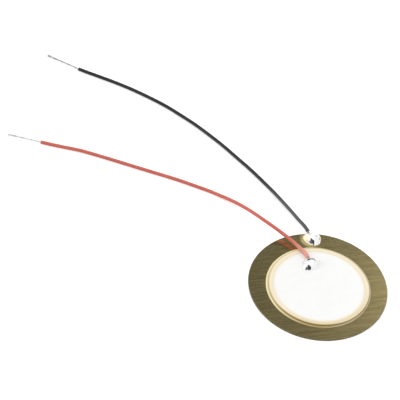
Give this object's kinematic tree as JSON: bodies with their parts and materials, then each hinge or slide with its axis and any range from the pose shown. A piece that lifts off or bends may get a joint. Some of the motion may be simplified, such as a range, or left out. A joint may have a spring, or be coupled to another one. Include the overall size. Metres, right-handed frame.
{
  "type": "piezo disc",
  "caption": "Round piezo sounder element: thin brass plate, bonded ceramic disc with silver electrode, red and black soldered leads.",
  "frame": {"origin": "centre of the brass plate's underside", "axes": "+Z out of the ceramic side, square to the plate; +Y from the centre to the solder joint at the plate's rim"},
  "size_m": [0.0721, 0.0754, 0.002],
  "materials": {
    "brass": "rolled sheet, satin, faintly grained",
    "adhesive": "cured adhesive, glossy, pale amber",
    "ceramic": "fired piezo ceramic, matte cream",
    "fired_silver": "fired silver paste, matte white metal",
    "solder": "bright solder",
    "tinned_strands": "tinned copper strands",
    "black_insulation": "soft plastic, satin black",
    "red_insulation": "soft plastic, satin red"
  },
  "bodies": {
    "root": {"brass_plate": "brass", "adhesive_bond": "adhesive", "bottom_electrode": "fired_silver", "ceramic_disc": "ceramic", "top_electrode": "fired_silver", "solder_on_plate": "solder", "solder_on_electrode": "solder", "black_insulation": "black_insulation", "black_wire_joint_end": "tinned_strands", "black_wire_free_end": "tinned_strands", "red_insulation": "red_insulation", "red_wire_joint_end": "tinned_strands", "red_wire_free_end": "tinned_strands"}
  },
  "joints": []
}
